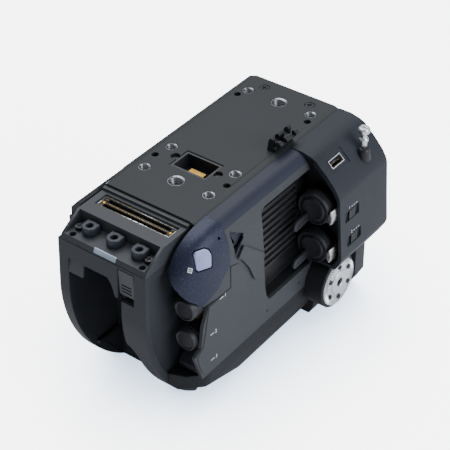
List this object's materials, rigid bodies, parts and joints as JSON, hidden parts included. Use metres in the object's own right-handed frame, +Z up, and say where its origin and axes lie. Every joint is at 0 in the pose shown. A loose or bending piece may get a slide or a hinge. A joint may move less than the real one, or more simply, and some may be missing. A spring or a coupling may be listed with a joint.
{
  "type": "digital cinema camera body",
  "caption": "Boxy shoulder-carried cinema camera body with a threaded top plate, open battery bay, capped rear and side connectors, a finned vent, a rosette and a capped lens mount.",
  "frame": {"origin": "middle of the bounding box in X and Y, at the flat base", "axes": "+X to the operator's right, +Y towards the lens, +Z up"},
  "size_m": [0.1564, 0.217, 0.15],
  "materials": {
    "plate_paint": "fine matte dark grey",
    "shell_paint": "fine matte warm grey",
    "base_paint": "fine matte dark grey",
    "label_paint": "fine matte dark grey",
    "shoulder_coat": "blue-grey coat with metal flake",
    "inner_metal": "milled",
    "thread_steel": "bright turned steel",
    "screw_steel": "black oxide",
    "tab_metal": "satin",
    "rosette_metal": "satin, toothed",
    "hook_metal": "bright turned",
    "contact_gold": "gold-coloured contact",
    "connector_brass": "nickel over brass",
    "black_plastic": "fine matte black",
    "grey_plastic": "light grey satin",
    "cap_rubber": "soft black rubber",
    "button_plastic": "pale violet-blue",
    "lamp_window": "pale milky window",
    "dial_plastic": "ribbed black",
    "red_plastic": "matte red",
    "sensor_glass": "coated filter glass",
    "filter_glass": "grey filter glass",
    "circuit_board": "green board",
    "mount_steel": "ground steel"
  },
  "bodies": {
    "body": {"chassis": "inner_metal", "top_plate": "plate_paint", "quarter_inch_inserts": "thread_steel", "three_eighths_inserts": "thread_steel", "case_screws": "screw_steel", "handle_socket": "grey_plastic", "cable_clamp": "black_plastic", "rear_deck": "plate_paint", "expansion_connector": "tab_metal", "contact_strips": "contact_gold", "deck_bosses": "base_paint", "tally_lens": "lamp_window", "battery_bay": "shell_paint", "battery_terminal": "black_plastic", "right_shell": "shell_paint", "label_panel": "label_paint", "shoulder_panel": "shoulder_coat", "io_bracket": "black_plastic", "video_connectors": "connector_brass", "vent_grille": "black_plastic", "input_block": "shell_paint", "input_panel": "black_plastic", "audio_connectors": "connector_brass", "usb_port": "tab_metal", "tape_hook": "hook_metal", "rosette_boss": "base_paint", "rosette": "rosette_metal", "base_shell": "base_paint", "tripod_plate": "thread_steel", "left_shell": "shell_paint", "filter_housing": "shell_paint", "card_module": "black_plastic", "front_frame": "plate_paint", "lens_mount": "mount_steel", "image_sensor": "sensor_glass", "main_board": "circuit_board", "fan_frame": "black_plastic"},
    "battery_lever": {"battery_lever": "base_paint"},
    "battery_latch": {"battery_latch": "tab_metal"},
    "assign_button": {"assign_button": "button_plastic"},
    "video_cap_1": {"video_cap_1": "cap_rubber"},
    "video_cap_2": {"video_cap_2": "cap_rubber"},
    "port_cover": {"port_cover": "cap_rubber"},
    "audio_cap_1": {"audio_cap_1": "cap_rubber"},
    "audio_cap_2": {"audio_cap_2": "cap_rubber"},
    "jack_door": {"jack_door": "label_paint"},
    "audio_release_1": {"audio_release_1": "tab_metal"},
    "audio_release_2": {"audio_release_2": "tab_metal"},
    "input_switch_1": {"input_switch_1": "dial_plastic"},
    "input_switch_2": {"input_switch_2": "dial_plastic"},
    "lens_release": {"lens_release": "tab_metal"},
    "body_cap": {"body_cap": "cap_rubber"},
    "filter_dial": {"filter_dial": "dial_plastic"},
    "filter_turret": {"filter_turret": "filter_glass"},
    "level_dial_1": {"level_dial_1": "dial_plastic"},
    "level_dial_2": {"level_dial_2": "dial_plastic"},
    "power_switch": {"power_switch": "dial_plastic"},
    "start_button": {"start_button": "red_plastic"},
    "card_door": {"card_door": "shell_paint"},
    "fan_rotor": {"fan_rotor": "black_plastic"}
  },
  "joints": [
    {"name": "battery_lever_slide", "type": "slide", "parent": "body", "child": "battery_lever", "axis": [0, 0, -1], "range_m": [0, 0.004], "stiffness_N_per_m": 300},
    {"name": "battery_latch_slide", "type": "slide", "parent": "body", "child": "battery_latch", "axis": [1, 0, 0], "range_m": [0, 0.0026]},
    {"name": "assign_press", "type": "slide", "parent": "body", "child": "assign_button", "axis": [-0.6957, 0.3699, -0.6158], "range_m": [0, 0.0012], "stiffness_N_per_m": 400},
    {"name": "video_cap_1_pull", "type": "slide", "parent": "body", "child": "video_cap_1", "axis": [0, -1, 0], "range_m": [0, 0.006]},
    {"name": "video_cap_2_pull", "type": "slide", "parent": "body", "child": "video_cap_2", "axis": [0, -1, 0], "range_m": [0, 0.006]},
    {"name": "port_cover_pull", "type": "slide", "parent": "body", "child": "port_cover", "axis": [0, -1, 0], "range_m": [0, 0.006]},
    {"name": "audio_cap_1_pull", "type": "slide", "parent": "body", "child": "audio_cap_1", "axis": [0, -1, 0], "range_m": [0, 0.006]},
    {"name": "audio_cap_2_pull", "type": "slide", "parent": "body", "child": "audio_cap_2", "axis": [0, -1, 0], "range_m": [0, 0.006]},
    {"name": "jack_door_hinge", "type": "hinge", "parent": "body", "child": "jack_door", "pos_m": [0.0544, -0.02325, 0.087], "axis": [0, 0.6478, 0.7618], "range_deg": [0, 100]},
    {"name": "audio_release_1_press", "type": "slide", "parent": "body", "child": "audio_release_1", "axis": [0, 1, 0], "range_m": [0, 0.0015], "stiffness_N_per_m": 300},
    {"name": "audio_release_2_press", "type": "slide", "parent": "body", "child": "audio_release_2", "axis": [0, 1, 0], "range_m": [0, 0.0015], "stiffness_N_per_m": 300},
    {"name": "input_switch_1_slide", "type": "slide", "parent": "body", "child": "input_switch_1", "axis": [0, 1, 0], "range_m": [-0.003, 0.003]},
    {"name": "input_switch_2_slide", "type": "slide", "parent": "body", "child": "input_switch_2", "axis": [0, 1, 0], "range_m": [-0.003, 0.003]},
    {"name": "lens_release_press", "type": "slide", "parent": "body", "child": "lens_release", "axis": [0, -1, 0], "range_m": [0, 0.0025], "stiffness_N_per_m": 400},
    {"name": "body_cap_turn", "type": "hinge", "parent": "body", "child": "body_cap", "pos_m": [0, 0.098, 0.072], "axis": [0, 1, 0], "range_deg": [-50, 0]},
    {"name": "filter_dial_turn", "type": "hinge", "parent": "body", "child": "filter_dial", "pos_m": [-0.06, 0.0628, 0.078], "axis": [1, 0, 0], "range_deg": [0, 270]},
    {"name": "filter_turret_turn", "type": "hinge", "parent": "body", "child": "filter_turret", "pos_m": [-0.014, 0.0633, 0.086], "axis": [0, 1, 0], "range_deg": [0, 270]},
    {"name": "level_dial_1_turn", "type": "hinge", "parent": "body", "child": "level_dial_1", "pos_m": [-0.05, 0.004, 0.064], "axis": [1, 0, 0], "range_deg": [0, 300]},
    {"name": "level_dial_2_turn", "type": "hinge", "parent": "body", "child": "level_dial_2", "pos_m": [-0.05, 0.022, 0.064], "axis": [1, 0, 0], "range_deg": [0, 300]},
    {"name": "power_switch_slide", "type": "slide", "parent": "body", "child": "power_switch", "axis": [0, 1, 0], "range_m": [-0.004, 0.004]},
    {"name": "start_press", "type": "slide", "parent": "body", "child": "start_button", "axis": [1, 0, 0], "range_m": [0, 0.0015], "stiffness_N_per_m": 400},
    {"name": "card_door_hinge", "type": "hinge", "parent": "body", "child": "card_door", "pos_m": [-0.052, -0.0477, 0.07], "axis": [0, 0, 1], "range_deg": [0, 110]},
    {"name": "fan_spin", "type": "hinge", "parent": "body", "child": "fan_rotor", "pos_m": [0.037, 0.005, 0.086], "axis": [1, 0, 0], "continuous": true}
  ],
  "couplings": [
    {"joint": "battery_latch_slide", "follows": "battery_lever_slide", "ratio": 0.65},
    {"joint": "filter_turret_turn", "follows": "filter_dial_turn", "ratio": 1}
  ]
}
